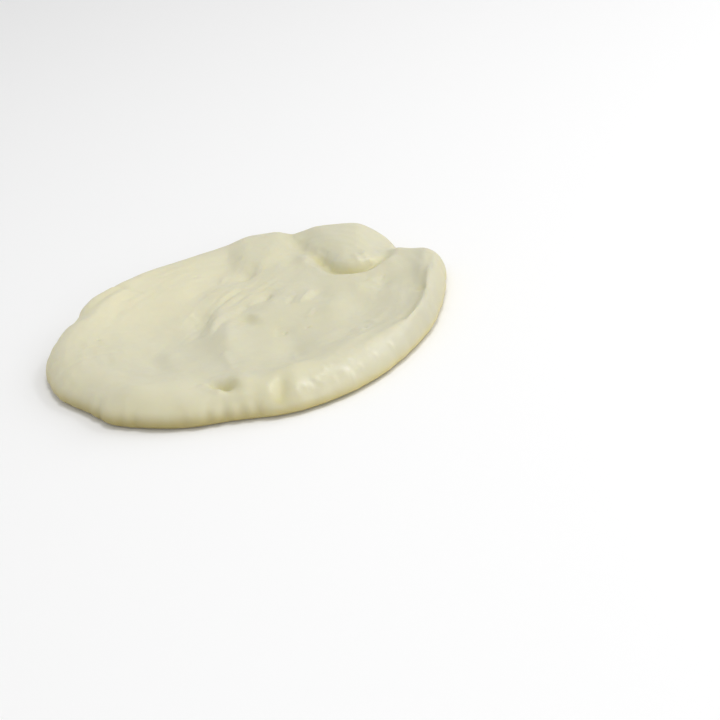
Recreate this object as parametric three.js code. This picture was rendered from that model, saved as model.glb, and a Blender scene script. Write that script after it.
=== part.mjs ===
import * as THREE from 'three';

// Queso de mano: one round of soft white stretched-curd cheese, patted flat by hand. It is a thick uneven
// disc with a rolled rim, a slightly dished face, a blister of folded curd at its right back edge and a few
// pressed dents. Millimetres, +Z up. The origin is the middle of the flat underside, +X is the right edge and
// +Y the back edge.

// Driving dimensions
const RADIUS = 80;      // mean radius of the disc
const THICKNESS = 12;   // height of the face just inside the rim
const BELLY = 3;        // height at which the side stands out furthest
const SHOULDER = 16;    // how far in from the edge the face begins to round over
const FOOT = 5;         // how far in from the edge the underside begins to round up
const DISH = { deep: 1.6, from: 25, to: 64 };   // the middle lies lower than the rim

// Fineness of the mesh: steps around the disc, and across each zone of its section
const AROUND = 150;
const STEPS = { face: 24, shoulder: 7, foot: 4, underside: 2 };

// How the hand-patted edge leaves the circle: at (degrees from +X), half width (degrees), out (mm)
const LOBES = [
  { at: 46, wide: 15, out: 6.6 },     // the blister's bulge
  { at: 27, wide: 9, out: -4.4 },     // the notch beside it
  { at: 11, wide: 8, out: 3.7 },      // the right corner
  { at: -17, wide: 12, out: -2.3 },
  { at: -39, wide: 16, out: -2.6 },
  { at: -100, wide: 13, out: -5.5 },  // the flattened front
  { at: -124, wide: 16, out: -3.8 },
  { at: -151, wide: 11, out: -4.1 },
  { at: -166, wide: 13, out: -0.9 },
  { at: 175, wide: 9, out: 1.6 },
  { at: 152, wide: 6, out: -1.4 },    // the small notch at the left back
  { at: 141, wide: 7, out: 1.4 },
  { at: 121, wide: 13, out: 1.3 },
  { at: 100, wide: 12, out: -0.7 },
  { at: 77, wide: 15, out: 4.5 },     // the flatter bulge at the back
];

// How the shoulder's width changes on the way round
const SHOULDERS = [
  { at: -6, wide: 30, out: -8.5 },    // the right rim
  { at: -46, wide: 32, out: -7.5 },
  { at: -33, wide: 9, out: -2.4 },
  { at: 110, wide: 40, out: -2.5 },   // the back
  { at: 148, wide: 26, out: -6 },     // the left back
];

// How the rim rises and sinks: at and half width (degrees), high (mm), growing between the radii from and to
const SWELLS = [
  { at: 46, wide: 17, high: 1.1, from: 44, to: 60 },    // the blister's bulge
  { at: 30, wide: 8, high: -2.1, from: 58, to: 76 },    // the notch
  { at: 7, wide: 8, high: 1.8, from: 72.5, to: 79 },    // the right corner
  { at: -9, wide: 12, high: 2.4, from: 67, to: 74.5 },  // the step inside the right rim
  { at: -32, wide: 11, high: 1.5, from: 70.5, to: 75 },
  { at: -90, wide: 55, high: 0.8, from: 56, to: 70 },   // the front
  { at: 110, wide: 14, high: 0.4, from: 60, to: 74 },
  { at: 135, wide: 18, high: 1.8, from: 60, to: 74 },   // the left back
  { at: 165, wide: 18, high: 0.4, from: 55, to: 75 },
  { at: -150, wide: 20, high: -0.4, from: 60, to: 76 },
];

// Mounds of folded curd at the back, each between two circles, given by place and half width.
// A mound's sides slope over the width slope. Its front looks to the bearing facing, over the width steep
const BLISTER = {
  front: { x: 50.2, y: 26.8, half: 10.7 },
  back: { x: 47.5, y: 64, half: 19 },
  rise: 2.4, slope: 12, steep: 4, facing: 238, wide: 105,
};
const BULGE = {
  front: { x: 12, y: 52, half: 13 },
  back: { x: 14, y: 70, half: 15 },
  rise: 1.4, slope: 10, steep: 8, facing: 238, wide: 105,
};

// The crescent pocket round the blister's front and the low lip outside it, with their half widths
const CREASE = { deep: 2.5, out: 1.5, inner: 1.9, outer: 3.2, lip: 0.35, lipOut: 6.5 };

// Folds pressed along the foot of the right rim, on to the right front, and inside the left back edge
const FOLDS = [
  { course: [[77.5, 9], [74.3, -3], [72, -8], [70, -14], [68, -21]], half: 2, high: -0.8 },
  { course: [[68, -22], [66, -30], [61.2, -40], [57.5, -44]], half: 2.5, high: -1 },
  { course: [[-66, 31], [-60.5, 39.5], [-54, 46], [-47, 52.5]], half: 3, high: -0.8 },
];

// Soft dents (high below 0) and bumps of the face: place, half lengths along and across, turned (degrees)
const PRESSES = [
  { x: -34, y: 2, along: 36, across: 16, turn: 102, high: -2.7 },
  { x: -5, y: 46, along: 15, across: 10, turn: 108, high: -1.9 },
  { x: 11, y: -6, along: 24, across: 16, turn: 60, high: 1.2 },
  { x: 46, y: -20, along: 22, across: 9, turn: 80, high: -2.2 },
  { x: 56, y: -3, along: 7, across: 6, turn: 0, high: -1.6 },
  { x: -20, y: -58, along: 9, across: 6.5, turn: 110, high: -1.8 },
  { x: -13.4, y: -62.4, along: 6.2, across: 2.6, turn: 138, high: -3.6 },
  { x: -7, y: -64, along: 7, across: 5, turn: 90, high: 1.3 },
  { x: 12, y: -65, along: 8, across: 4.5, turn: 5, high: 1.3 },
  { x: 38, y: -54, along: 13, across: 6, turn: 25, high: 1.5 },
  { x: 14, y: -45, along: 10, across: 7, turn: 95, high: -2.2 },
  { x: 6, y: -75, along: 5.5, across: 2.8, turn: 68, high: -2.1 },
  { x: -47, y: -51, along: 10, across: 7, turn: -40, high: 1.2 },
  { x: -38, y: -24, along: 12, across: 4, turn: 105, high: -1 },
  { x: -31, y: -22, along: 7, across: 3.5, turn: 95, high: 0.7 },
  { x: -9, y: -26, along: 20, across: 7, turn: 98, high: 1.9 },
  { x: 0.5, y: -8, along: 8, across: 3.4, turn: 112, high: -1.3 },
  { x: -10.5, y: -2, along: 8, across: 3, turn: 70, high: 0.8 },
  { x: -18.5, y: 5, along: 9, across: 4.5, turn: 80, high: -1.6 },
  { x: 13, y: -28, along: 9, across: 4, turn: 108, high: -0.8 },
  { x: 25.5, y: 1.5, along: 7, across: 3.4, turn: 62, high: 0.6 },
  { x: 31, y: 0, along: 9, across: 4, turn: 95, high: -0.9 },
  { x: 33, y: -14, along: 11, across: 6, turn: 100, high: 1 },
  { x: 47, y: -6, along: 7, across: 4.5, turn: 100, high: 1.2 },
  { x: 53, y: 11, along: 5, across: 4, turn: 0, high: -0.7 },
  { x: 35.5, y: 34, along: 5, across: 2.6, turn: 110, high: -1.2 },
  { x: 60, y: 13, along: 8, across: 5, turn: 0, high: 0.9 },
  { x: 58, y: 26, along: 7, across: 4, turn: 88, high: -0.9 },
  { x: 67, y: 25, along: 6, across: 4, turn: 85, high: 0.6 },
  { x: -6, y: 26, along: 8, across: 6, turn: 10, high: 1 },
  { x: 9.5, y: 9.5, along: 6.5, across: 4.2, turn: 60, high: -1.5 },
  { x: 2, y: 1, along: 6, across: 3.9, turn: 100, high: -0.8 },
  { x: -16, y: 30, along: 8, across: 6, turn: 90, high: -0.8 },
  { x: -59, y: 27, along: 13, across: 4.5, turn: 62, high: 0.8 },
  { x: -50, y: 43, along: 8, across: 4, turn: 58, high: 0.7 },
  { x: 5, y: 41, along: 7, across: 4, turn: 80, high: -1.2 },
  { x: -1, y: 60, along: 10, across: 5, turn: 92, high: -1 },
  { x: 28.5, y: 50, along: 14, across: 5, turn: 75, high: -1.3 },
  { x: 29, y: 37, along: 5, across: 4, turn: 90, high: 0.8 },
];

// The stretch ripples that cross the middle of the face
const RIPPLES = { x: -2, y: 12, along: 22, across: 13, turn: 48, pitch: 7.5, high: 0.1 };
const RIPPLE_BEND = { wide: 2.2, per: 9 };

// A smooth hump, 1 in its middle and near 0 two half widths away
function bell(x) {
  return Math.exp(-x * x);
}

// The angle from one bearing to another, in degrees between -180 and 180
function gap(bearing, at) {
  const turns = (bearing - at) / 360;
  return 360 * (turns - Math.round(turns));
}

// A smooth step from 0 at the first radius to 1 at the second
function climb(from, to, x) {
  return THREE.MathUtils.smoothstep(x, from, to);
}

// How far in from an oval's middle a point lies, counted in the oval's own half lengths
function reachIn(oval, x, y) {
  const turn = THREE.MathUtils.degToRad(oval.turn);
  const point = new THREE.Vector2(x - oval.x, y - oval.y).rotateAround(new THREE.Vector2(), -turn);
  return { along: point.x, across: point.y, share: Math.hypot(point.x / oval.along, point.y / oval.across) };
}

// Radius of the outline at a bearing
function outline(bearing) {
  let radius = RADIUS;
  for (const lobe of LOBES) {
    radius += lobe.out * bell(gap(bearing, lobe.at) / lobe.wide);
  }
  return radius;
}

// Height that the rim's swells add
function rimHeight(radius, bearing) {
  let height = 0;
  for (const swell of SWELLS) {
    height += swell.high * bell(gap(bearing, swell.at) / swell.wide) * climb(swell.from, swell.to, radius);
  }
  return height;
}

// How far outside a mound's edge a point is
function outsideOf(mound, x, y) {
  const { front, back } = mound;
  const spine = new THREE.Vector2(back.x - front.x, back.y - front.y);
  const point = new THREE.Vector2(x - front.x, y - front.y);
  const along = THREE.MathUtils.clamp(point.dot(spine) / spine.lengthSq(), 0, 1);
  return point.distanceTo(spine.multiplyScalar(along)) - THREE.MathUtils.lerp(front.half, back.half, along);
}

// How much a point lies before a mound's front, from 0 to 1
function frontal(mound, x, y) {
  const bearing = THREE.MathUtils.radToDeg(Math.atan2(y - mound.front.y, x - mound.front.x));
  return bell(gap(bearing, mound.facing) / mound.wide);
}

// Height that a mound adds
function moundHeight(mound, x, y) {
  const slope = THREE.MathUtils.lerp(mound.slope, mound.steep, frontal(mound, x, y));
  return mound.rise * (1 - climb(-1, 1 / slope, outsideOf(mound, x, y) / slope));
}

// Depth of the pocket round the blister's front, less its lip
function creaseDepth(x, y) {
  const away = outsideOf(BLISTER, x, y);
  const pocket = bell((away - CREASE.out) / (away < CREASE.out ? CREASE.inner : CREASE.outer));
  const lip = bell((away - CREASE.lipOut) / CREASE.inner);
  return frontal(BLISTER, x, y) * (CREASE.deep * pocket - CREASE.lip * lip);
}

// Height that a fold adds, which is below 0: the nearest of its stretches counts
function foldHeight(fold, x, y) {
  const point = new THREE.Vector3(x, y, 0);
  const near = new THREE.Vector3();
  let away = Infinity;
  for (let i = 1; i < fold.course.length; i += 1) {
    const [start, end] = [fold.course[i - 1], fold.course[i]].map(([px, py]) => new THREE.Vector3(px, py, 0));
    new THREE.Line3(start, end).closestPointToPoint(point, true, near);
    away = Math.min(away, near.distanceTo(point));
  }
  return fold.high * bell(away / fold.half);
}

// Height of the stretch ripples
function rippleHeight(x, y) {
  const { along, across, share } = reachIn(RIPPLES, x, y);
  const bend = RIPPLE_BEND.wide * Math.sin(along / RIPPLE_BEND.per);
  return RIPPLES.high * Math.sin(2 * Math.PI * (across + bend) / RIPPLES.pitch) * bell(share);
}

// Height of the cheese's upper face over a point
function faceHeight(x, y) {
  const radius = Math.hypot(x, y);
  const bearing = THREE.MathUtils.radToDeg(Math.atan2(y, x));
  let height = THICKNESS - DISH.deep * (1 - climb(DISH.from, DISH.to, radius));
  height += rimHeight(radius, bearing) + rippleHeight(x, y);
  height += moundHeight(BLISTER, x, y) + moundHeight(BULGE, x, y) - creaseDepth(x, y);
  for (const fold of FOLDS) {
    height += foldHeight(fold, x, y);
  }
  for (const press of PRESSES) {
    height += press.high * bell(reachIn(press, x, y).share);
  }
  return height;
}

// How far in from the edge a point of the plain disc's upper side goes, as the shoulder's width changes
function inward(away, bearing) {
  let width = SHOULDER;
  for (const change of SHOULDERS) {
    width += change.out * bell(gap(bearing, change.at) / change.wide);
  }
  if (away < SHOULDER) {
    return away * width / SHOULDER;
  }
  return THREE.MathUtils.mapLinear(away, SHOULDER, RADIUS, width, RADIUS);
}

// Points of a quarter ellipse about (x, z), from one angle to another, leaving out the first
function arc(x, z, halfWide, halfHigh, from, to, steps) {
  const curve = new THREE.EllipseCurve(x, z, halfWide, halfHigh, from, to, from > to);
  return curve.getPoints(steps).slice(1);
}

// Half section of the plain disc, from the middle of its underside round its side to the middle of its face
function section() {
  const points = [];
  for (let i = 0; i <= STEPS.underside; i += 1) {
    points.push(new THREE.Vector2((RADIUS - FOOT) * i / STEPS.underside, 0));
  }
  points.push(...arc(RADIUS - FOOT, BELLY, FOOT, BELLY, -Math.PI / 2, 0, STEPS.foot));
  points.push(...arc(RADIUS - SHOULDER, BELLY, SHOULDER, THICKNESS - BELLY, 0, Math.PI / 2, STEPS.shoulder));
  for (let i = 1; i <= STEPS.face; i += 1) {
    points.push(new THREE.Vector2((RADIUS - SHOULDER) * (1 - i / STEPS.face), THICKNESS));
  }
  return points;
}

// The plain disc, turned about the upright axis, then spread to the outline and raised or lowered to the face
function cheeseGeometry() {
  const geometry = new THREE.LatheGeometry(section(), AROUND);
  geometry.rotateX(Math.PI / 2);
  const position = geometry.getAttribute('position');
  const point = new THREE.Vector3();
  for (let i = 0; i < position.count; i += 1) {
    point.fromBufferAttribute(position, i);
    const bearing = Math.atan2(point.y, point.x);
    const degrees = THREE.MathUtils.radToDeg(bearing);
    const above = point.z > BELLY;
    const plain = Math.hypot(point.x, point.y);
    const radius = (above ? RADIUS - inward(RADIUS - plain, degrees) : plain) * outline(degrees) / RADIUS;
    point.x = radius * Math.cos(bearing);
    point.y = radius * Math.sin(bearing);
    if (above) {
      const share = (point.z - BELLY) / (THICKNESS - BELLY);
      point.z = BELLY + (faceHeight(point.x, point.y) - BELLY) * share;
    }
    position.setXYZ(i, point.x, point.y, point.z);
  }
  geometry.computeVertexNormals();
  return geometry;
}

const curd = new THREE.MeshStandardMaterial({ color: 0xe6e1c4, roughness: 0.42, metalness: 0 });

const cheeseRound = new THREE.Mesh(cheeseGeometry(), curd);
cheeseRound.name = 'cheese_round';

const queso = new THREE.Group();
queso.add(cheeseRound);

export default queso;
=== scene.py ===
"""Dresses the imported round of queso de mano: its skin with every fold and dent, its curd and a studio.

The round is modelled in millimetres, as it was patted, and handed to Blender in metres. Its frame is the
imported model's: +Z up, the origin in the middle of the flat underside, +X the right edge, +Y the back edge.
"""

import logging
import math
from dataclasses import dataclass
from enum import Enum

import bpy
import numpy as np
from mathutils import Matrix, Vector, noise


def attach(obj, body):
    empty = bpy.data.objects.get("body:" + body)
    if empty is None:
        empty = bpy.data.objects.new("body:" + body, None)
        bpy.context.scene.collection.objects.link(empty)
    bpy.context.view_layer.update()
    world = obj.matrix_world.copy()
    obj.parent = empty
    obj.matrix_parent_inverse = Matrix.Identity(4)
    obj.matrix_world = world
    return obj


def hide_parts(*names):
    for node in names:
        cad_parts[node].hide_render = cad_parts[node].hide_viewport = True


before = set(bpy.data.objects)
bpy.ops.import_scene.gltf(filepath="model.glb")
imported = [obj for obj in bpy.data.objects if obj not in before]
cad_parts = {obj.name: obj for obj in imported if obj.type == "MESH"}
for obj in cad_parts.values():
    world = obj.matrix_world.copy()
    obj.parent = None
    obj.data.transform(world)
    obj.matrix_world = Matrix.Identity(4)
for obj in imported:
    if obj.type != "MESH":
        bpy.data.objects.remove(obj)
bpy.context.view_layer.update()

logging.basicConfig(level=logging.INFO, format="%(message)s")
log = logging.getLogger("queso")

MM = 0.001
CHEESE_NODE = "cheese_round"
CLOUD_SHIFT = (1.0, 1.7, -2.3)  # how far a seed of 1 shifts the clouds along each axis

Place = tuple[float, float]
Span = tuple[float, float]
Colour = tuple[float, float, float, float]


# ---------------------------------------- shape functions


def bell(x: np.ndarray) -> np.ndarray:
    """A smooth hump, 1 in its middle and near 0 two half widths away."""
    return np.exp(-x * x)


def gap(bearing: np.ndarray, at: float) -> np.ndarray:
    """The angle from one bearing to another, in degrees between -180 and 180."""
    return (bearing - at + 180.0) % 360.0 - 180.0


def climb(start: float, end: float, x: np.ndarray) -> np.ndarray:
    """A smooth step from 0 at start to 1 at end."""
    share = np.clip((x - start) / (end - start), 0.0, 1.0)
    return share * share * (3.0 - 2.0 * share)


def polar(x: np.ndarray, y: np.ndarray) -> tuple[np.ndarray, np.ndarray]:
    """How far from the middle each point lies, and its bearing in degrees."""
    return np.hypot(x, y), np.degrees(np.arctan2(y, x))


def beside(x: np.ndarray, y: np.ndarray, start: Place, end: Place) -> tuple[np.ndarray, np.ndarray]:
    """Where points lie beside a straight stretch.

    Args:
        x: the points' places to the right.
        y: the points' places to the back.
        start: one end of the stretch.
        end: its other end.

    Returns:
        How far along the stretch its nearest place to each point is, from 0 to 1, and how far off that is.
    """
    (x0, y0), (x1, y1) = start, end
    along = ((x - x0) * (x1 - x0) + (y - y0) * (y1 - y0)) / math.dist(start, end) ** 2
    along = np.clip(along, 0.0, 1.0)
    return along, np.hypot(x - x0 - along * (x1 - x0), y - y0 - along * (y1 - y0))


def clouds(places: np.ndarray, pitch: tuple[float, float, float], seed: float) -> np.ndarray:
    """Smooth noise between about -1 and 1.

    Args:
        places: points, one a row.
        pitch: size of a lump along each axis, in the units of places.
        seed: how far the pattern is shifted, so that two calls differ.

    Returns:
        One value for each point.
    """
    scaled = places / np.array(pitch) + seed * np.array(CLOUD_SHIFT)
    return np.array([noise.noise(Vector(place)) for place in scaled])


def flat_clouds(x: np.ndarray, y: np.ndarray, pitch: Span, seed: float) -> np.ndarray:
    """The same smooth noise over a plane, in lumps of one pitch along x and another along y."""
    return clouds(np.stack([x, y, 0 * x], axis=1), (*pitch, 1.0), seed)


# ---------------------------------------- marks of the hand on the curd


@dataclass(frozen=True)
class Lobe:
    """A place where the edge leaves the circle: bearing and half width in degrees, and mm outwards."""

    at: float
    wide: float
    out: float

    def step(self, bearing: np.ndarray) -> np.ndarray:
        """How far out the lobe goes at each bearing."""
        return self.out * bell(gap(bearing, self.at) / self.wide)


@dataclass(frozen=True)
class Swell:
    """A rise or fall of the rim: bearing and half width in degrees, mm high, growing between two radii."""

    at: float
    wide: float
    high: float
    start: float
    end: float

    def rise(self, radius: np.ndarray, bearing: np.ndarray) -> np.ndarray:
        """How high the swell is at each point."""
        return self.high * (bell(gap(bearing, self.at) / self.wide) * climb(self.start, self.end, radius))


@dataclass(frozen=True)
class Band:
    """A strip along the rim: bearing and half width in degrees, then its radius and half width in mm."""

    at: float
    wide: float
    radius: float
    half: float

    def share(self, radius: np.ndarray, bearing: np.ndarray) -> np.ndarray:
        """How far inside the strip each point lies, from 0 to 1."""
        return bell(gap(bearing, self.at) / self.wide) * bell((radius - self.radius) / self.half)


@dataclass(frozen=True)
class Circle:
    """A round place on the face: its middle and half width, in mm."""

    x: float
    y: float
    half: float

    def share(self, x: np.ndarray, y: np.ndarray) -> np.ndarray:
        """How near each point lies to the middle, from 0 to 1."""
        return bell(np.hypot(x - self.x, y - self.y) / self.half)


@dataclass(frozen=True)
class Grain(Circle):
    """A small grain of curd on the face, or a pinhole where high is below 0, in mm."""

    high: float


@dataclass(frozen=True)
class Press:
    """A soft oval bump, or a dent where high is below 0, in mm and degrees."""

    x: float
    y: float
    along: float
    across: float
    turn: float
    high: float

    def own(self, x: np.ndarray, y: np.ndarray) -> tuple[np.ndarray, np.ndarray]:
        """Turns points into the oval's own axes.

        Args:
            x: the points' places to the right.
            y: the points' places to the back.

        Returns:
            How far each point lies from the oval's middle along it, and how far across it.
        """
        turn = math.radians(self.turn)
        right, back = x - self.x, y - self.y
        along = right * math.cos(turn) + back * math.sin(turn)
        across = back * math.cos(turn) - right * math.sin(turn)
        return along, across

    def share(self, x: np.ndarray, y: np.ndarray) -> np.ndarray:
        """How much of the press reaches each point, from 0 to 1."""
        along, across = self.own(x, y)
        return bell(np.hypot(along / self.along, across / self.across))


@dataclass(frozen=True)
class Line:
    """A fold pressed into the face through its points, or a ridge where high is above 0, in mm."""

    course: tuple[Place, ...]
    half: float
    high: float

    def share(self, x: np.ndarray, y: np.ndarray) -> np.ndarray:
        """How much of the line reaches each point, from 0 to 1, fading beside it and at its ends."""
        stretches = zip(self.course, self.course[1:])
        nearest = np.minimum.reduce([beside(x, y, start, end)[1] for start, end in stretches])
        return bell(nearest / self.half)


@dataclass(frozen=True)
class Mound:
    """A bulge of the back rim that widens from its front circle to its back one, in mm.

    Its sides slope over the first width, and its front, which looks to one bearing, over the second.
    """

    front: Circle
    back: Circle
    rise: float
    slope: float
    steep: float
    facing: float = 238.0
    wide: float = 105.0

    def outside(self, x: np.ndarray, y: np.ndarray) -> np.ndarray:
        """How far outside the mound's edge each point is."""
        along, away = beside(x, y, (self.front.x, self.front.y), (self.back.x, self.back.y))
        return away - self.front.half - along * (self.back.half - self.front.half)

    def frontal(self, x: np.ndarray, y: np.ndarray) -> np.ndarray:
        """How much each point lies before the mound's front, from 0 to 1."""
        _, bearing = polar(x - self.front.x, y - self.front.y)
        return bell(gap(bearing, self.facing) / self.wide)

    def height(self, x: np.ndarray, y: np.ndarray) -> np.ndarray:
        """Height that the mound adds at each point."""
        slope = self.slope + (self.steep - self.slope) * self.frontal(x, y)
        return self.rise * (1.0 - climb(-1.0, 1.0 / slope, self.outside(x, y) / slope))


@dataclass(frozen=True)
class Crease:
    """The crescent pocket that runs round the front of a mound, with a low lip outside it, in mm."""

    mound: Mound
    deep: float = 2.5
    out: float = 1.5
    half_in: float = 1.9
    half_out: float = 3.2
    lip: float = 0.35
    lip_out: float = 6.5

    def depth(self, x: np.ndarray, y: np.ndarray) -> np.ndarray:
        """Gives the crease's depth, less the lip along its outer side.

        Args:
            x: the points' places to the right.
            y: the points' places to the back.

        Returns:
            The depth at each point, which is below 0 on the lip.
        """
        away = self.mound.outside(x, y)
        pocket = bell((away - self.out) / np.where(away < self.out, self.half_in, self.half_out))
        lip = bell((away - self.lip_out) / self.half_in)
        return self.mound.frontal(x, y) * (self.deep * pocket - self.lip * lip)


# ---------------------------------------- the form of the round


@dataclass(frozen=True)
class PattedForm:
    """The main form of the round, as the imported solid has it, in mm."""

    radius: float = 80.0
    thickness: float = 12.0
    belly: float = 3.0
    shoulder: float = 16.0
    foot: float = 5.0
    dish_deep: float = 1.6
    dish_from: float = 25.0
    dish_to: float = 64.0
    crease: Crease = Crease(Mound(Circle(50.2, 26.8, 10.7), Circle(47.5, 64.0, 19.0), 2.4, 12.0, 4.0))
    bulge: Mound = Mound(Circle(12.0, 52.0, 13.0), Circle(14.0, 70.0, 15.0), 1.4, 10.0, 8.0)
    shoulders: tuple[Lobe, ...] = (
        Lobe(-6, 30, -8.5),  # the right rim
        Lobe(-46, 32, -7.5),
        Lobe(-33, 9, -2.4),
        Lobe(110, 40, -2.5),  # the back
        Lobe(148, 26, -6.0),  # the left back
    )
    lobes: tuple[Lobe, ...] = (
        Lobe(46, 15, 6.6),  # the blister's bulge
        Lobe(27, 9, -4.4),  # the notch beside it
        Lobe(11, 8, 3.7),  # the right corner
        Lobe(-17, 12, -2.3),
        Lobe(-39, 16, -2.6),
        Lobe(-100, 13, -5.5),  # the flattened front
        Lobe(-124, 16, -3.8),
        Lobe(-151, 11, -4.1),
        Lobe(-166, 13, -0.9),
        Lobe(175, 9, 1.6),
        Lobe(152, 6, -1.4),  # the small notch at the left back
        Lobe(141, 7, 1.4),
        Lobe(121, 13, 1.3),
        Lobe(100, 12, -0.7),
        Lobe(77, 15, 4.5),  # the flatter bulge at the back
    )
    swells: tuple[Swell, ...] = (
        Swell(46, 17, 1.1, 44, 60),  # the blister's bulge
        Swell(30, 8, -2.1, 58, 76),  # the notch
        Swell(7, 8, 1.8, 72.5, 79),  # the right corner
        Swell(-9, 12, 2.4, 67, 74.5),  # the step inside the right rim
        Swell(-32, 11, 1.5, 70.5, 75),
        Swell(-90, 55, 0.8, 56, 70),  # the front
        Swell(110, 14, 0.4, 60, 74),
        Swell(135, 18, 1.8, 60, 74),  # the left back
        Swell(165, 18, 0.4, 55, 75),
        Swell(-150, 20, -0.4, 60, 76),
    )
    presses: tuple[Press, ...] = (
        Press(-34, 2, 36.0, 16.0, 102, -2.7),  # the broad hollow at the left
        Press(-5, 46, 15.0, 10.0, 108, -1.9),
        Press(11, -6, 24.0, 16.0, 60, 1.2),  # the raised middle
        Press(46, -20, 22.0, 9.0, 80, -2.2),
        Press(56, -3, 7.0, 6.0, 0, -1.6),
        Press(-20, -58, 9.0, 6.5, 110, -1.8),
        Press(-13.4, -62.4, 6.2, 2.6, 138, -3.6),  # the dimple
        Press(-7, -64, 7.0, 5.0, 90, 1.3),
        Press(12, -65, 8.0, 4.5, 5, 1.3),
        Press(38, -54, 13.0, 6.0, 25, 1.5),
        Press(14, -45, 10.0, 7.0, 95, -2.2),
        Press(6.0, -75, 5.5, 2.8, 68, -2.1),  # the nick in the front rim
        Press(-47, -51, 10.0, 7.0, -40, 1.2),
        Press(-38, -24, 12.0, 4.0, 105, -1.0),
        Press(-31, -22, 7.0, 3.5, 95, 0.7),
        Press(-9, -26, 20.0, 7.0, 98, 1.9),
        Press(0.5, -8, 8.0, 3.4, 112, -1.3),
        Press(-10.5, -2, 8.0, 3.0, 70, 0.8),
        Press(-18.5, 5, 9.0, 4.5, 80, -1.6),
        Press(13, -28, 9.0, 4.0, 108, -0.8),
        Press(25.5, 1.5, 7.0, 3.4, 62, 0.6),
        Press(31, 0, 9.0, 4.0, 95, -0.9),
        Press(33, -14, 11.0, 6.0, 100, 1.0),
        Press(47, -6, 7.0, 4.5, 100, 1.2),
        Press(53, 11, 5.0, 4.0, 0, -0.7),
        Press(35.5, 34, 5.0, 2.6, 110, -1.2),
        Press(60, 13, 8.0, 5.0, 0, 0.9),
        Press(58, 26, 7.0, 4.0, 88, -0.9),
        Press(67, 25, 6.0, 4.0, 85, 0.6),
        Press(-6, 26, 8.0, 6.0, 10, 1.0),
        Press(9.5, 9.5, 6.5, 4.2, 60, -1.5),
        Press(2, 1, 6.0, 3.9, 100, -0.8),
        Press(-16, 30, 8.0, 6.0, 90, -0.8),
        Press(-59, 27, 13.0, 4.5, 62, 0.8),
        Press(-50, 43, 8.0, 4.0, 58, 0.7),
        Press(5, 41, 7.0, 4.0, 80, -1.2),
        Press(-1, 60, 10.0, 5.0, 92, -1.0),
        Press(28.5, 50, 14.0, 5.0, 75, -1.3),
        Press(29, 37, 5.0, 4.0, 90, 0.8),
    )
    folds: tuple[Line, ...] = (
        Line(((77.5, 9.0), (74.3, -3.0), (72.0, -8.0), (70.0, -14.0), (68.0, -21.0)), 2.0, -0.8),
        Line(((68.0, -22.0), (66.0, -30.0), (61.2, -40.0), (57.5, -44.0)), 2.5, -1.0),
        Line(((-66.0, 31.0), (-60.5, 39.5), (-54.0, 46.0), (-47.0, 52.5)), 3.0, -0.8),
    )
    ripples: Press = Press(-2, 12, 22, 13, 48, 0.1)
    ripple_pitch: float = 7.5
    ripple_bend: float = 2.2
    ripple_bend_per: float = 9.0

    def outline(self, bearing: np.ndarray) -> np.ndarray:
        """Adds every lobe to the circle.

        Args:
            bearing: bearings in degrees.

        Returns:
            Radius of the outline at each of them.
        """
        radius = np.full_like(bearing, self.radius)
        for lobe in self.lobes:
            radius += lobe.step(bearing)
        return radius

    def inward(self, away: np.ndarray, bearing: np.ndarray) -> np.ndarray:
        """Moves points of the upper side in or out, as the shoulder's width changes on the way round.

        Args:
            away: how far in from the edge each point of the plain disc is.
            bearing: the points' bearings in degrees.

        Returns:
            How far in from the edge each point comes to lie.
        """
        wide = np.full_like(bearing, self.shoulder)
        for change in self.shoulders:
            wide += change.step(bearing)
        over = (away - self.shoulder) / (self.radius - self.shoulder)
        rounded = away * wide / self.shoulder
        return np.where(away < self.shoulder, rounded, wide + over * (self.radius - wide))

    def ripple(self, x: np.ndarray, y: np.ndarray) -> np.ndarray:
        """Adds up the stretch ripples that cross the middle.

        Args:
            x: the points' places to the right.
            y: the points' places to the back.

        Returns:
            Height of the ripples at each point.
        """
        along, across = self.ripples.own(x, y)
        bend = self.ripple_bend * np.sin(along / self.ripple_bend_per)
        wave = np.sin(math.tau * (across + bend) / self.ripple_pitch)
        return self.ripples.high * wave * self.ripples.share(x, y)

    def face(self, x: np.ndarray, y: np.ndarray) -> np.ndarray:
        """Adds every mark of the hand to the dished face.

        Args:
            x: the points' places to the right.
            y: the points' places to the back.

        Returns:
            Height of the upper face over each point.
        """
        radius, bearing = polar(x, y)
        height = self.thickness - self.dish_deep * (1.0 - climb(self.dish_from, self.dish_to, radius))
        for swell in self.swells:
            height += swell.rise(radius, bearing)
        height += self.crease.mound.height(x, y) + self.bulge.height(x, y) - self.crease.depth(x, y)
        height += self.ripple(x, y)
        for mark in (*self.folds, *self.presses):
            height += mark.high * mark.share(x, y)
        return height

    def shape(self, plain: np.ndarray) -> np.ndarray:
        """Spreads a plain disc to the outline and raises its upper side to the face.

        Args:
            plain: points on the plain disc of this radius and thickness.

        Returns:
            The same points on the patted round.
        """
        plain_x, plain_y, plain_z = plain.T
        radius, bearing = polar(plain_x, plain_y)
        upper = self.radius - self.inward(self.radius - radius, bearing)
        radius = np.where(plain_z > self.belly, upper, radius) * self.outline(bearing) / self.radius
        x, y = radius * np.cos(np.radians(bearing)), radius * np.sin(np.radians(bearing))
        share = np.clip((plain_z - self.belly) / (self.thickness - self.belly), 0.0, 1.0)
        z = np.minimum(plain_z, self.belly) + (self.face(x, y) - self.belly) * share
        return np.stack([x, y, z], axis=1)


# ---------------------------------------- the mesh of the plain disc


class Zone(Enum):
    """The zones of the disc's half section, from the middle of its face to the middle of its underside."""

    FACE = "face"
    SHOULDER = "shoulder"
    FOOT = "foot"
    UNDERSIDE = "underside"


@dataclass(frozen=True)
class Ring:
    """One ring of points round the middle: its radius and height in mm, and how many points it has."""

    radius: float
    height: float
    count: int


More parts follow.
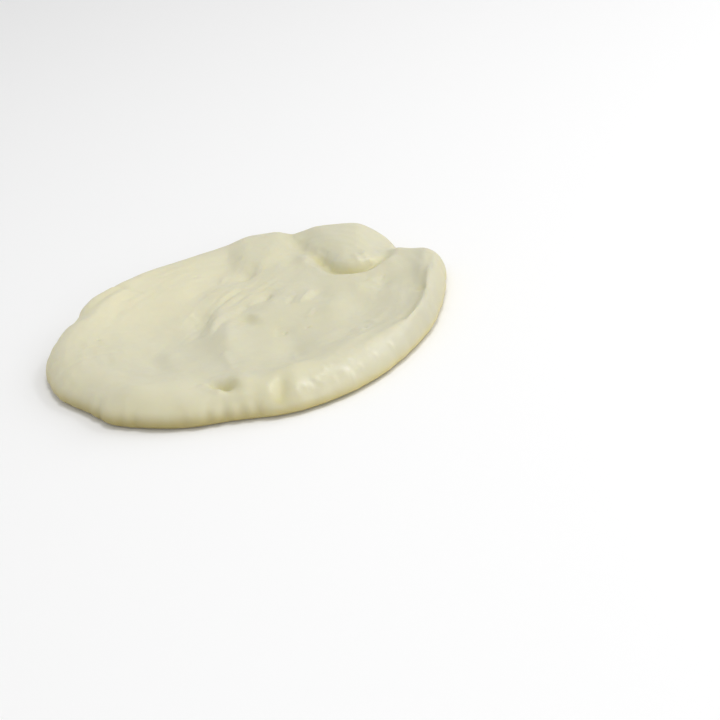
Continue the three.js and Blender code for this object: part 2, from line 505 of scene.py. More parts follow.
@dataclass(frozen=True)
class DiscMesh:
    """Concentric rings of points over a plain disc, joined by triangles of nearly one size, in mm."""

    form: PattedForm
    sectors: int = 6
    spacing: float = 0.6
    shoulder_steps: int = 20
    foot_steps: int = 11
    underside_spacing: float = 3.0
    widening: float = 1.35

    def section(self, zone: Zone) -> list[Ring]:
        """Spaces out the rings of one zone.

        Args:
            zone: which zone of the half section.

        Returns:
            The zone's rings, in the order of the zones.
        """
        form = self.form
        flat = form.radius - form.shoulder
        count = round(flat / self.spacing)
        around = self.sectors * count
        rings = []
        if zone is Zone.FACE:
            for i in range(1, count + 1):
                rings.append(Ring(flat * i / count, form.thickness, self.sectors * i))
        elif zone is Zone.SHOULDER:
            for i in range(1, self.shoulder_steps + 1):
                turn = 0.5 * math.pi * i / self.shoulder_steps
                height = form.belly + (form.thickness - form.belly) * math.cos(turn)
                rings.append(Ring(flat + form.shoulder * math.sin(turn), height, around))
        elif zone is Zone.FOOT:
            for i in range(1, self.foot_steps + 1):
                turn = 0.5 * math.pi * i / self.foot_steps
                height = form.belly * (1.0 - math.sin(turn))
                rings.append(Ring(form.radius - form.foot * (1.0 - math.cos(turn)), height, around))
        else:
            step = self.spacing * self.widening
            radius = form.radius - form.foot - step
            while radius > step:
                rings.append(Ring(radius, 0.0, self.sectors * max(1, round(radius / step))))
                step = min(step * self.widening, self.underside_spacing)
                radius -= step
        return rings

    def build(self) -> tuple[np.ndarray, np.ndarray]:
        """Joins the rings of every zone.

        Returns:
            The points of the plain disc and its triangles, which face out.
        """
        rings = [ring for zone in Zone for ring in self.section(zone)]
        rings = [Ring(0.0, self.form.thickness, 1), *rings, Ring(0.0, 0.0, 1)]
        points, triangles = [], []
        first, before = 0, None
        for ring in rings:
            turns = math.tau * np.arange(ring.count) / ring.count
            x, y = ring.radius * np.cos(turns), ring.radius * np.sin(turns)
            points.append(np.stack([x, y, np.full(ring.count, ring.height)], axis=1))
            here = (first, ring.count)
            if before:
                triangles += self.stitch(before, here)
            first, before = first + ring.count, here
        return np.concatenate(points), np.array(triangles)

    @staticmethod
    def stitch(inner: tuple[int, int], outer: tuple[int, int]) -> list[tuple[int, int, int]]:
        """Triangles between two rings of any number of points.

        Args:
            inner: first point and number of points of the ring that comes first.
            outer: the same of the ring that comes after it.

        Returns:
            The triangles, each as three point numbers.
        """
        (a, a_count), (b, b_count) = inner, outer
        i = j = 0
        made = []
        a_steps, b_steps = a_count * (a_count > 1), b_count * (b_count > 1)
        while i < a_steps or j < b_steps:
            go_outer = j < b_steps and (i >= a_steps or (j + 0.5) * a_count <= (i + 0.5) * b_count)
            here, there = a + i % a_count, b + j % b_count
            if go_outer:
                j += 1
                made.append((here, there, b + j % b_count))
            else:
                i += 1
                made.append((here, there, a + i % a_count))
        return made


# ---------------------------------------- the skin's fine relief


@dataclass(frozen=True)
class Lumps:
    """Soft unevenness of one size over the whole skin: its pitch and its height, in mm."""

    pitch: float
    high: float

    def height(self, points: np.ndarray) -> np.ndarray:
        """Height of the lumps at each point, with their pitch as the seed."""
        return self.high * clouds(points, (self.pitch,) * 3, self.pitch)


@dataclass(frozen=True)
class Fibres:
    """The stretched curd's streaks: straight in the middle of the face and bent along its edge, in mm."""

    high: float = 0.4
    pitch: Span = (15.0, 2.2)
    seed: float = 11.0
    middle_zoom: float = 0.7
    edge_zoom: Span = (1.4, 1.5)
    edge_seed: float = 17.0
    edge_share: float = 0.6
    edge_start: Span = (38.0, 56.0)
    edge_end: Span = (72.0, 78.0)
    wander: float = 3.0
    wander_pitch: Span = (19.0, 19.0)
    wander_seed: float = 5.0

    def height(self, form: PattedForm, x: np.ndarray, y: np.ndarray) -> np.ndarray:
        """Adds the straight and the bent streaks.

        Args:
            form: the round that they cross.
            x: the points' places to the right.
            y: the points' places to the back.

        Returns:
            Height of the streaks at each point.
        """
        (long, short), (zoom_long, zoom_short) = self.pitch, self.edge_zoom
        radius, bearing = polar(x, y)
        arc = np.radians(bearing) * form.radius
        along, across = form.ripples.own(x, y)
        wander = self.wander * flat_clouds(x, y, self.wander_pitch, self.wander_seed)
        straight = flat_clouds(along, across + wander, self.pitch, self.seed)
        bent = flat_clouds(arc, radius + wander, (zoom_long * long, zoom_short * short), self.edge_seed)
        middle = form.ripples.share(self.middle_zoom * x, self.middle_zoom * y)
        edge = climb(*self.edge_start, radius) * (1.0 - climb(*self.edge_end, radius))
        return self.high * (straight * middle + self.edge_share * bent * edge)


@dataclass(frozen=True)
class Flutes:
    """The side's upright dents: faint ones all round, and deeper ones that fade out upwards, in mm."""

    high: float = 0.45
    pitch: Span = (6.0, 24.0)
    seed: float = 23.0
    fade: Span = (4.0, 10.0)
    deep: tuple[Lobe, ...] = (
        Lobe(-93, 1.6, -0.9),
        Lobe(-97, 1.5, -0.8),
        Lobe(-102, 1.7, -0.9),
        Lobe(-107, 1.6, -0.7),
        Lobe(-114, 1.6, -0.8),
        Lobe(-130, 1.8, -0.8),
        Lobe(-134, 1.6, -0.6),
        Lobe(-144, 1.8, -0.8),
    )

    def height(self, form: PattedForm, bearing: np.ndarray, z: np.ndarray) -> np.ndarray:
        """Adds the faint and the deep dents.

        Args:
            form: the round whose side they are in.
            bearing: the points' bearings in degrees.
            z: the points' heights.

        Returns:
            Height of the dents at each point, which is below 0 in a deep one.
        """
        high = self.high * flat_clouds(np.radians(bearing) * form.radius, z, self.pitch, self.seed)
        low = 1.0 - climb(*self.fade, z)
        for dent in self.deep:
            high += dent.step(bearing) * low
        return high


@dataclass(frozen=True)
class Skin:
    """The fine relief of the hand-patted curd, added along the surface's own direction, in mm.

    A tilt is the upright part of a point's outward direction, or for the side its level part.
    """

    form: PattedForm
    seed: int = 7
    face_tilt: Span = (0.3, 0.85)
    side_tilt: Span = (0.25, 0.7)
    underside_tilt: Span = (-0.95, -0.5)
    unevenness: tuple[Lumps, ...] = (Lumps(24.0, 0.4), Lumps(8.5, 0.2), Lumps(2.7, 0.055))
    fibres: Fibres = Fibres()
    flutes: Flutes = Flutes()
    knob_rim: Band = Band(-67.0, 13.0, 74.0, 4.2)
    knob_pitch: float = 2.2
    knob_seed: float = 31.0
    knob_high: float = 0.45
    knob_sharp: float = 1.3
    # painted glints: how strong they are on the knobs, and the grain height that paints one fully
    knob_glint: float = 0.4
    curd_glint_height: float = 0.4
    curds: tuple[Grain, ...] = (
        Grain(30.7, -70.9, 1.3, 0.5),
        Grain(32.7, -71.6, 0.8, 0.3),
        Grain(15.3, -75.0, 1.0, 0.35),
        Grain(17.4, -75.4, 0.8, 0.3),
        Grain(19.5, -73.6, 0.8, 0.25),
        Grain(12.2, -76.0, 0.8, 0.2),
        Grain(26.2, -73.4, 0.8, 0.25),
        Grain(21.9, -72.4, 0.8, 0.2),
        Grain(36.5, -68.6, 0.8, 0.2),
        Grain(42.9, -63.8, 0.9, 0.3),
        Grain(49.8, -58.2, 0.9, 0.3),
        Grain(24.0, -70.5, 0.8, 0.2),
        Grain(33.0, -67.0, 0.8, 0.2),
    )
    pores: tuple[Place, ...] = ((22.0, -29.0), (-58.0, 6.5))
    pore_count: int = 4
    pore_reach: float = 0.8
    pore_half: float = 0.75
    pore_high: float = -0.6
    lines: tuple[Line, ...] = (
        Line(((-50.6, 57.0), (-44.5, 50.0), (-38.7, 44.0)), 0.8, -0.3),
        Line(((-73.0, -11.0), (-62.0, -9.2), (-51.0, -7.6)), 1.3, -0.2),
        Line(((-59.0, -39.0), (-44.0, -44.3), (-32.0, -46.4)), 1.8, -0.2),
        Line(((-21.0, -57.0), (-18.5, -61.0), (-15.5, -65.0)), 1.8, 0.8),
        Line(((-13.5, -9.5), (-12.5, -4.0), (-11.0, 1.5), (-8.5, 7.0)), 1.9, 0.35),
        Line(((-19.8, -8.0), (-17.8, -2.0), (-14.8, 7.0)), 2.5, -0.75),
        Line(((-21.0, 14.0), (-19.0, 9.0), (-18.5, 4.0)), 1.3, 0.2),
        Line(((-7.0, -2.0), (-10.0, -7.5), (-13.0, -14.0)), 1.2, -0.25),
        Line(((-6.5, -9.0), (-7.5, -16.0), (-8.0, -25.0)), 2.4, 0.5),
        Line(((-1.5, -9.0), (-3.0, -15.0)), 1.5, 0.2),
        Line(((3.0, -4.0), (5.5, -9.0)), 2.0, 0.35),
        Line(((-1.2, 3.0), (1.4, 5.8)), 1.6, -0.6),
        Line(((-7.0, 16.0), (-3.0, 19.2), (1.5, 23.0)), 0.9, -0.25),
        Line(((-8.0, 18.5), (-4.0, 21.6), (-0.5, 25.5)), 0.7, 0.2),
        Line(((-1.0, 13.5), (4.0, 17.0), (9.0, 18.0), (14.0, 14.0)), 1.5, -0.3),
        Line(((9.3, 8.9), (10.7, 10.8)), 1.6, -1.0),
        Line(((22.5, -4.5), (25.3, 0.5), (27.3, 4.5)), 1.1, 0.35),
        Line(((27.0, -3.5), (30.0, 2.0)), 1.5, -0.35),
        Line(((18.4, -3.0), (20.2, 1.5)), 1.3, -0.45),
        Line(((11.5, -23.0), (10.5, -29.0)), 1.2, -0.25),
        Line(((23.6, -18.8), (25.8, -14.5)), 1.1, 0.3),
        Line(((4.0, 36.5), (6.0, 38.5)), 1.9, -0.6),
        Line(((-4.5, 44.0), (-5.5, 39.0)), 1.6, 0.4),
        Line(((-11.0, -37.0), (-9.0, -50.0)), 1.8, 0.35),
        Line(((14.0, -46.0), (14.5, -55.0)), 1.2, 0.25),
        Line(((45.5, -37.0), (47.5, -43.0)), 1.3, 0.3),
        Line(((39.5, -43.5), (41.0, -45.0)), 1.7, 0.4),
        Line(((50.5, -2.5), (51.5, -9.0)), 1.6, 0.35),
        Line(((33.5, 38.5), (35.5, 34.0)), 1.1, 0.5),
        Line(((36.5, 40.0), (38.5, 35.5)), 1.0, -0.5),
        Line(((31.0, 34.5), (33.0, 29.0)), 1.2, -0.4),
        Line(((48.6, 22.5), (49.8, 19.0)), 1.2, 0.5),
        Line(((52.4, 21.5), (53.4, 18.0)), 1.2, 0.5),
        Line(((51.5, 1.5), (53.0, -1.5)), 1.9, 0.6),
    )
    lean: float = 0.7
    lean_in: float = 1.8
    lean_half: float = 2.2
    lean_rise: Span = (7.0, 11.0)
    lean_core: float = 1.0

    def relief(self, points: np.ndarray, normals: np.ndarray) -> tuple[np.ndarray, np.ndarray, np.ndarray]:
        """Works out the fine relief, where it is knobs, and where glints are painted on the knobs and the
        grains of curd.

        Args:
            points: points on the patted round.
            normals: outward directions there.

        Returns:
            Heights in mm, how knobbly the skin is, and how much of each point has a painted glint.
        """
        x, y, z = points.T
        radius, bearing = polar(x, y)
        on_face = climb(*self.face_tilt, normals[:, 2])
        on_side = climb(*self.side_tilt, np.hypot(normals[:, 0], normals[:, 1]))
        loose = climb(*self.underside_tilt, normals[:, 2])
        high = np.zeros(len(points))
        for lumps in self.unevenness:
            high += lumps.height(points)
        high += self.fibres.height(self.form, x, y) * on_face
        high += self.flutes.height(self.form, bearing, z) * on_side
        knobs = self.knob_rim.share(radius, bearing)
        bumps = np.maximum(clouds(points, (self.knob_pitch,) * 3, self.knob_seed), 0.0)
        high += self.knob_high * knobs * bumps**self.knob_sharp * on_face
        # painted glints: pale spots on the knobs' tips and on the grains stand in for highlights
        painted_glints = self.knob_glint * knobs * bumps
        for curd in self.curds:
            grain = curd.share(x, y) * loose
            high += curd.high * grain
            painted_glints = np.maximum(painted_glints, grain * curd.high / self.curd_glint_height)
        for mark in (*self.pinholes(), *self.lines):
            high += mark.high * mark.share(x, y) * on_face
        return high * loose, knobs * on_face, painted_glints

    def pinholes(self) -> list[Grain]:
        """Spreads a few pinholes by a seeded draw.

        Returns:
            The pinholes that show, and then those.
        """
        draw = np.random.default_rng(self.seed)
        radii = self.pore_reach * self.form.radius * np.sqrt(draw.random(self.pore_count))
        turns = math.tau * draw.random(self.pore_count)
        places = [*self.pores, *zip(radii * np.cos(turns), radii * np.sin(turns))]
        return [Grain(x, y, self.pore_half, self.pore_high) for x, y in places]

    def lean_over(self, points: np.ndarray) -> np.ndarray:
        """Leans the blister's front out over its crease.

        Args:
            points: points of the whole skin.

        Returns:
            The same points, with those of the blister's front pushed outwards.
        """
        mound = self.form.crease.mound
        x, y, z = points.T
        front = bell((mound.outside(x, y) + self.lean_in) / self.lean_half)
        push = self.lean * mound.frontal(x, y) * front * climb(*self.lean_rise, z)
        away = np.stack([x - mound.front.x, y - mound.front.y, 0 * z], axis=1)
        far = np.maximum(np.hypot(away[:, 0], away[:, 1]), self.lean_core)
        return points + push[:, None] * away / far[:, None]


def point_normals(points: np.ndarray, triangles: np.ndarray) -> np.ndarray:
    """Works out which way the surface looks.

    Args:
        points: the points of a closed mesh.
        triangles: its triangles, each as three point numbers.

    Returns:
        The outward direction at each point, from the triangles that meet there.
    """
    a, b, c = (points[triangles[:, k]] for k in range(3))
    facing = np.cross(b - a, c - a)
    normals = np.zeros_like(points)
    for k in range(3):
        np.add.at(normals, triangles[:, k], facing)
    return normals / np.linalg.norm(normals, axis=1)[:, None]


# ---------------------------------------- where the curd's tone changes, and where shade and sheen are painted


class Mask(Enum):
    """What a mask on the mesh marks, under the name by which the finish reads it."""

    HOLLOW_SHADE = "hollow_shade"
    BACK_SHEEN = "back_sheen"
    KNOBS = "knobs"
    PAINTED_GLINTS = "painted_glints"
    MILKY = "milky"
    DULL = "dull"
    # the low side: partly the thin edge's warmer tone, partly painted shade near the floor
    FOOT = "foot"
    SHADE = "shade"


@dataclass(frozen=True)
class Tones:
    """Where shade, sheen and tone are painted on the curd: in the hollows, at the left back, on the right
    rim, inside its step and on the low side, in mm and degrees.

    The height of a swell and the step of a lobe stand here for how strong the tone is.
    """

    form: PattedForm
    # painted shade: the crease, the folds and the narrow dents turn darker and warmer, on upward faces more
    # than on the side
    hollow_shade_full: float = 2.4
    hollow_shade_power: float = 1.25
    hollow_shade_narrow: float = 3.8
    hollow_shade_tilt: Span = (0.2, 0.6)
    # painted sheen: a lighter tone at the left back and along the left rim stands in for the sheen of the
    # light there
    back_sheen_patch: Circle = Circle(-33.0, 36.0, 39.0)
    back_sheen_rim: Swell = Swell(-170.0, 75.0, 0.4, 50.0, 70.0)
    # painted sheen: a whiter, greyer tone on the right rim stands in for the sheen of the light there
    milky_rim: Swell = Swell(-28.0, 36.0, 1.0, 71.5, 76.5)
    # painted shade: a darker strip inside the step of the right rim, where its wall faces away from the
    # light
    dull_rim: Band = Band(-22.0, 30.0, 70.5, 3.6)
    # the low side turns darker and yellower: partly the warmer tone of the thin edge, partly painted shade
    # near the floor
    foot_tone_and_shade_fade: Span = (1.8, 5.2)
    shade_side: Lobe = Lobe(-136.0, 50.0, 1.0)
    shade_fade: Span = (2.0, 7.8)

    def masks(self, points: np.ndarray, normals: np.ndarray) -> dict[Mask, np.ndarray]:
        """Works out the masks of every tone.

        Args:
            points: points on the finished skin.
            normals: outward directions there.

        Returns:
            For each mask, a share from 0 to 1 for each point.
        """
        x, y, z = points.T
        radius, bearing = polar(x, y)
        return {
            Mask.HOLLOW_SHADE: self.shaded_hollows(x, y) * climb(*self.hollow_shade_tilt, normals[:, 2]),
            Mask.BACK_SHEEN: self.back_sheen(x, y),
            Mask.MILKY: self.milky_rim.rise(radius, bearing),
            Mask.DULL: self.dull_rim.share(radius, bearing),
            Mask.FOOT: 1.0 - climb(*self.foot_tone_and_shade_fade, z),
            Mask.SHADE: (1.0 - climb(*self.shade_fade, z)) * self.shade_side.step(bearing),
        }

    def shaded_hollows(self, x: np.ndarray, y: np.ndarray) -> np.ndarray:
        """Finds the crease, the folds and the narrow dents, where shade is painted.

        Args:
            x: the points' places to the right.
            y: the points' places to the back.

        Returns:
            How deep in one of them each point lies, from 0 to 1.
        """
        deep = np.maximum(self.form.crease.depth(x, y), 0.0)
        narrow = [press for press in self.form.presses if press.across < self.hollow_shade_narrow]
        for mark in (*self.form.folds, *narrow):
            deep += max(-mark.high, 0.0) * mark.share(x, y)
        return np.clip(deep / self.hollow_shade_full, 0.0, 1.0) ** self.hollow_shade_power

    def back_sheen(self, x: np.ndarray, y: np.ndarray) -> np.ndarray:
        """How much painted sheen lightens the curd: 1 at the left back, less along the left rim and 0 in the
        middle.
        """
        return np.clip(self.back_sheen_patch.share(x, y) + self.back_sheen_rim.rise(*polar(x, y)), 0.0, 1.0)


# ---------------------------------------- finishes


class Graph:
    """A node tree with short ways to add nodes and join them."""

    def __init__(self, tree: bpy.types.NodeTree) -> None:
        """Keeps the tree."""
        self.tree = tree

    def add(self, kind: str, settings: dict | None = None, **inputs: object) -> bpy.types.Node:
        """Adds a node.

        Args:
            kind: the node's type name, without its ShaderNode start.
            settings: the node's own properties.
            inputs: values or sockets for its inputs, named in lower case with _ for spaces.

        Returns:
            The node.
        """
        node = self.tree.nodes.new(f"ShaderNode{kind}")
        for name, value in (settings or {}).items():
            setattr(node, name, value)
        by_name = {}
        for socket in node.inputs:
            if socket.enabled:
                by_name.setdefault(socket.name.lower().replace(" ", "_"), socket)
        for name, value in inputs.items():
            self.feed(by_name[name], value)
        return node

    def feed(self, socket: bpy.types.NodeSocket, value: object) -> None:
        """Joins another socket to an input, or gives the input a value of its own.

        Args:
            socket: the input.
            value: the other socket, or the value.
        """
        if isinstance(value, bpy.types.NodeSocket):
            self.tree.links.new(value, socket)
        else:
            socket.default_value = value

    def dress(self, looks: dict[str, object]) -> None:
        """Gives the tree's own surface shader its looks.

        Args:
            looks: values or sockets, by the names of the shader's inputs.
        """
        shader = self.tree.nodes["Principled BSDF"]
        for name, value in looks.items():
            self.feed(shader.inputs[name], value)

    def mask(self, mask: Mask) -> bpy.types.NodeSocket:
        """The value of one of the mesh's masks."""
        return self.add("Attribute", {"attribute_name": mask.value}).outputs["Fac"]

    def maths(self, operation: str, a: object, b: object, clamp: bool = False) -> bpy.types.NodeSocket:
        """Adds a Math node.

        Args:
            operation: what it does.
            a: its first value or socket.
            b: its second value or socket.
            clamp: whether its result stays between 0 and 1.

        Returns:
            Its result.
        """
        node = self.add("Math", {"operation": operation, "use_clamp": clamp})
        for socket, value in zip(node.inputs, (a, b)):
            self.feed(socket, value)
        return node.outputs[0]

    def spread(self, value: bpy.types.NodeSocket, low: float, high: float) -> bpy.types.NodeSocket:
        """A value from 0 to 1 spread between low and high."""
        node = self.add("MapRange", value=value, to_min=low, to_max=high)
        return node.outputs["Result"]

    def blend(self, share: object, first: object, second: object) -> bpy.types.NodeSocket:
        """A colour between two colours or sockets."""
        node = self.add("Mix", {"data_type": "RGBA"}, factor=share, a=first, b=second)
        return next(socket for socket in node.outputs if socket.enabled)


def new_material(name: str) -> tuple[bpy.types.Material, Graph]:
    """Makes a plain material.

    Args:
        name: its name.

    Returns:
        The material and the graph of its nodes.
    """
    material = bpy.data.materials.new(name)
    material.use_nodes = True
    return material, Graph(material.node_tree)


@dataclass(frozen=True)
class CloudyGroup:
    """The shader node group for soft patches: lumps of one size broken up by finer ones."""

    name: str = "soft_patches"
    pitch: float = 0.01
    contrast: float = 1.0
    detail: float = 3.0
    roughness: float = 0.55
    middle: float = 0.5

    def get(self) -> bpy.types.NodeTree:
        """The group, which is built the first time."""
        return bpy.data.node_groups.get(self.name) or self.build()

    def build(self) -> bpy.types.NodeTree:
        """Makes the group with its named sockets.

        Returns:
            The group.
        """
        tree = bpy.data.node_groups.new(self.name, "ShaderNodeTree")
        for name, value in (("Pitch", self.pitch), ("Contrast", self.contrast)):
            socket = tree.interface.new_socket(name, in_out="INPUT", socket_type="NodeSocketFloat")
            socket.default_value = value
        tree.interface.new_socket("Patches", in_out="OUTPUT", socket_type="NodeSocketFloat")
        graph = Graph(tree)
        into, out = tree.nodes.new("NodeGroupInput"), tree.nodes.new("NodeGroupOutput")
        place = graph.add("TexCoord").outputs["Object"]
        scale = graph.maths("DIVIDE", 1.0, into.outputs["Pitch"])
        lumps = graph.add(
            "TexNoise", vector=place, scale=scale, detail=self.detail, roughness=self.roughness
        )
        centred = graph.maths("SUBTRACT", lumps.outputs["Fac"], self.middle)
        strong = graph.maths("MULTIPLY", centred, into.outputs["Contrast"])
        graph.feed(out.inputs["Patches"], graph.maths("ADD", strong, self.middle, clamp=True))
        return tree


@dataclass(frozen=True)
class Tint:
    """A colour laid over the curd, the mask that brings it in, and its share where that mask is 1; most
    tints are painted shade, sheen and glints.
    """

    mask: Mask
    share: float
    colour: Colour


@dataclass(frozen=True)
class CurdFinish:
    """Moist ivory curd: light sinks in, the skin is satin with wetter patches, and its colour carries
    painted shade in the hollows and on the low side, painted sheen at the left back and on the right rim,
    and painted glints on the grains.
    """

    pale: Colour = (0.670, 0.648, 0.490, 1.0)
    warm: Colour = (0.655, 0.625, 0.435, 1.0)
    tints: tuple[Tint, ...] = (
        # painted sheen: lighter at the left back and along the left rim
        Tint(Mask.BACK_SHEEN, 1.0, (0.745, 0.706, 0.498, 1.0)),
        # painted sheen: whiter and greyer on the right rim
        Tint(Mask.MILKY, 1.0, (0.590, 0.580, 0.475, 1.0)),
        # painted shade: darker strip inside the step of the right rim
        Tint(Mask.DULL, 1.0, (0.560, 0.538, 0.400, 1.0)),
        # partly the thin edge's warmer tone, partly painted shade near the floor
        Tint(Mask.FOOT, 0.8, (0.640, 0.580, 0.320, 1.0)),
        Tint(Mask.SHADE, 0.9, (0.400, 0.350, 0.170, 1.0)),
        # painted shade in the crease, the folds and the narrow dents
        Tint(Mask.HOLLOW_SHADE, 0.8, (0.640, 0.595, 0.320, 1.0)),
        # painted glints: pale spots on the knobs and the grains of curd
        Tint(Mask.PAINTED_GLINTS, 0.55, (0.820, 0.800, 0.680, 1.0)),
    )
    patch_pitch: float = 0.022
    patch_contrast: float = 1.6
    moist_pitch: float = 0.009
    moist_contrast: float = 2.2
    knob_drying: float = 0.35
    grain_pitch: float = 0.0011
    grain_contrast: float = 1.0
    grain_high: float = 0.00004
    rough: float = 0.46
    satin: float = 0.30
    dense: float = 1.42
    film: float = 0.5
    film_rough: float = 0.2
    film_dense: float = 1.34
    sink: float = 0.5
    sink_reach: float = 0.001
    sink_share: tuple[float, float, float] = (1.0, 0.78, 0.36)

    def patches(self, graph: Graph, pitch: float, contrast: float) -> bpy.types.NodeSocket:
        """The soft patches group, placed in this finish with its own values."""
        node = graph.add("Group", {"node_tree": CloudyGroup().get()}, pitch=pitch, contrast=contrast)
        return node.outputs["Patches"]

    def colour(self, graph: Graph) -> bpy.types.NodeSocket:
        """Mixes the pale and warm patches and lays each tint over them in turn, painted shade, sheen and
        glints among them.

        Args:
            graph: the material's nodes.

        Returns:
            The curd's colour.
        """
        patches = self.patches(graph, self.patch_pitch, self.patch_contrast)
        colour = graph.blend(patches, self.pale, self.warm)
        for tint in self.tints:
            share = graph.maths("MULTIPLY", graph.mask(tint.mask), tint.share, clamp=True)
            colour = graph.blend(share, colour, tint.colour)
        return colour

    def make(self) -> bpy.types.Material:
        """Builds the finish's nodes.

        Returns:
            The material.
        """
        material, graph = new_material("moist_curd")
        drying = graph.maths("MULTIPLY", graph.mask(Mask.KNOBS), self.knob_drying)
        moisture = self.patches(graph, self.moist_pitch, self.moist_contrast)
        moisture = graph.maths("SUBTRACT", moisture, drying, clamp=True)
        speckle = self.patches(graph, self.grain_pitch, self.grain_contrast)
        bump = graph.add("Bump", distance=self.grain_high, height=speckle)
        graph.dress({
            "Base Color": self.colour(graph),
            "Roughness": graph.spread(moisture, self.rough, self.satin),
            "IOR": self.dense,
            "Normal": bump.outputs["Normal"],
            "Coat Weight": graph.spread(moisture, 0.0, self.film),
            "Coat Roughness": self.film_rough,
            "Coat IOR": self.film_dense,
            "Subsurface Weight": self.sink,
            "Subsurface Scale": self.sink_reach,
            "Subsurface Radius": self.sink_share,
        })
        return material


@dataclass(frozen=True)
class FloorFinish:
    """Plain matt white paper."""

    seen: Colour = (0.93, 0.93, 0.93, 1.0)
    thrown: Colour = (0.78, 0.72, 0.52, 1.0)
    rough: float = 0.85
    gloss: float = 0.2

    def make(self) -> bpy.types.Material:
        """Builds paper that throws less and warmer light back at the cheese than the camera sees.

        Returns:
            The material.
        """
        material, graph = new_material("white_paper")
        direct = graph.add("LightPath").outputs["Is Camera Ray"]
        graph.dress({
            "Base Color": graph.blend(direct, self.thrown, self.seen),
            "Roughness": self.rough,
            "Specular IOR Level": self.gloss,
        })
        return material


# ---------------------------------------- the round itself


def add_object(name: str, data: bpy.types.ID) -> bpy.types.Object:
    """Makes an object and puts it into the scene.

    Args:
        name: its name.
        data: its mesh, light or camera.

    Returns:
        The object.
    """
    made = bpy.data.objects.new(name, data)
    bpy.context.scene.collection.objects.link(made)
    return made


@dataclass(frozen=True)
class CheeseRound:
    """The round of cheese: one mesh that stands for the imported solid."""

    form: PattedForm = PattedForm()
    finish: CurdFinish = CurdFinish()
    name: str = "cheese_skin"

    def build(self) -> bpy.types.Object:
        """Makes the mesh with its relief and the masks that its finish reads.

        Returns:
            The piece, without its finish.
        """
        skin = Skin(self.form)
        plain, triangles = DiscMesh(self.form).build()
        points = self.form.shape(plain)
        normals = point_normals(points, triangles)
        high, knobs, painted_glints = skin.relief(points, normals)
        points = skin.lean_over(points + normals * high[:, None])
        points[:, 2] = np.maximum(points[:, 2], 0.0)
        mesh = bpy.data.meshes.new(self.name)
        mesh.from_pydata((points * MM).tolist(), [], triangles.tolist())
        mesh.shade_smooth()
        masks = Tones(self.form).masks(points, normals) | {Mask.KNOBS: knobs, Mask.PAINTED_GLINTS: painted_glints}
        for mask, values in masks.items():
            attribute = mesh.attributes.new(mask.value, "FLOAT", "POINT")
            attribute.data.foreach_set("value", values.astype(np.float32))
        return add_object(self.name, mesh)

    def dress(self, piece: bpy.types.Object) -> None:
        """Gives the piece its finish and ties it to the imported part."""
        piece.data.materials.append(self.finish.make())
        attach(piece, "root")
        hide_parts(CHEESE_NODE)


# ---------------------------------------- the studio


@dataclass(frozen=True)
class Panel:
    """A square soft light aimed at the round, in degrees and metres."""

    name: str
    bearing: float
    elevation: float
    away: float
    side: float
    power: float

    def build(self) -> None:
        """Adds the light."""
        turn, rise = math.radians(self.bearing), math.radians(self.elevation)
        towards = Vector((math.cos(turn) * math.cos(rise), math.sin(turn) * math.cos(rise), math.sin(rise)))
        lamp = bpy.data.lights.new(self.name, "AREA")
        lamp.size = self.side
        lamp.energy = self.power
        light = add_object(self.name, lamp)
        light.location = towards * self.away
        light.rotation_euler = (-towards).to_track_quat("-Z", "Y").to_euler()


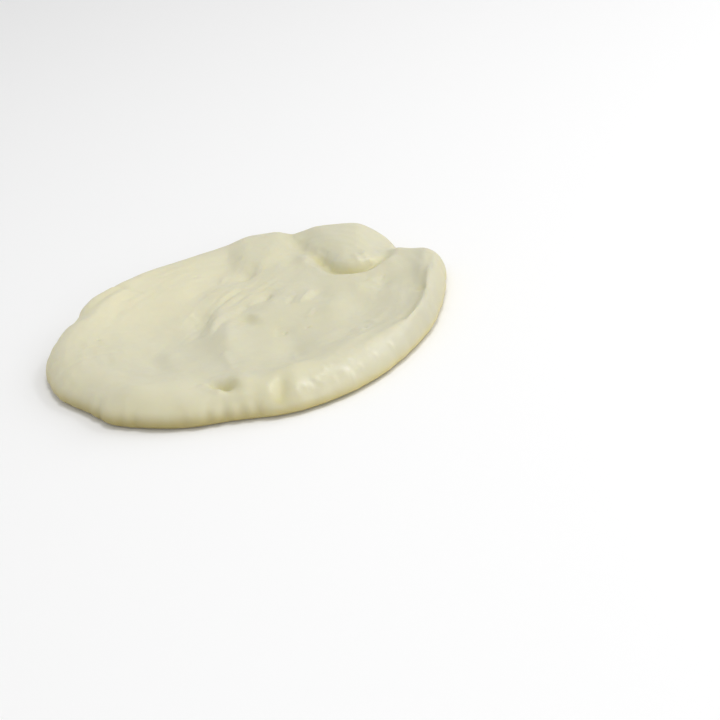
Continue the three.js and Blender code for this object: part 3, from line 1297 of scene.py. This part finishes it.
@dataclass(frozen=True)
class Viewpoint:
    """The photograph's camera: how it looks at the round, and where the round's middle falls in it.

    Angles are in degrees, distances in metres, the lens and sensor in mm, and the picture in pixels.
    """

    elevation: float = 23.3
    roll: float = 13.9
    away: float = 0.7868
    aim_height: float = 0.006
    lens: float = 100.0
    sensor: float = 36.0
    picture: float = 720.0
    middle_px: tuple[float, float] = (246.5, 323.4)

    def build(self) -> None:
        """Adds the camera and makes it the scene's own."""
        lens_px = self.lens / self.sensor * self.picture
        right, down = ((self.picture / 2 - middle) / lens_px for middle in self.middle_px)
        turns = (
            (math.radians(90.0 - self.elevation), "X"),
            (math.radians(-self.roll), "Z"),
            (-math.atan(right), "Y"),
            (-math.atan(down), "X"),
        )
        facing = Matrix.Identity(4)
        for angle, axis in turns:
            facing = facing @ Matrix.Rotation(angle, 4, axis)
        rise = math.radians(self.elevation)
        place = Vector((0.0, -math.cos(rise), math.sin(rise))) * self.away
        data = bpy.data.cameras.new("camera")
        data.lens, data.sensor_width = self.lens, self.sensor
        camera = add_object("camera", data)
        camera.matrix_world = facing
        camera.location = place + Vector((0.0, 0.0, self.aim_height))
        bpy.context.scene.camera = camera


@dataclass(frozen=True)
class Studio:
    """The floor, the lights and the camera."""

    floor_side: float = 6.0
    sky: float = 0.58
    sky_colour: Colour = (1.0, 1.0, 1.0, 1.0)
    viewpoint: Viewpoint = Viewpoint()
    panels: tuple[Panel, ...] = (
        Panel("window", 10.0, 32.0, 1.3, 1.0, 4.45),
        Panel("overhead", -20.0, 78.0, 1.3, 0.4, 4.2),
        Panel("front", -84.0, 18.0, 1.5, 1.2, 2.4),
        Panel("side", -66.0, 7.0, 1.3, 0.7, 3.6),
        Panel("glint", -8.0, 46.0, 1.2, 0.12, 0.8),
    )

    def build(self) -> None:
        """Adds everything round the cheese."""
        half = self.floor_side / 2
        mesh = bpy.data.meshes.new("floor")
        edges = [(-half, -half, 0.0), (half, -half, 0.0), (half, half, 0.0), (-half, half, 0.0)]
        mesh.from_pydata(edges, [], [(0, 1, 2, 3)])
        mesh.materials.append(FloorFinish().make())
        floor = add_object("floor", mesh)
        for panel in self.panels:
            panel.build()
        world = bpy.data.worlds.new("white_room")
        world.use_nodes = True
        sky = world.node_tree.nodes["Background"]
        sky.inputs["Color"].default_value = self.sky_colour
        sky.inputs["Strength"].default_value = self.sky
        bpy.context.scene.world = world
        bpy.context.scene.view_settings.view_transform = "Standard"
        self.viewpoint.build()


def main() -> None:
    """Builds the studio and the round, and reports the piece."""
    Studio().build()
    round_of_cheese = CheeseRound()
    piece = round_of_cheese.build()
    round_of_cheese.dress(piece)
    log.info("%s: %d points, %d faces", piece.name, len(piece.data.vertices), len(piece.data.polygons))


if __name__ == "__main__":
    main()
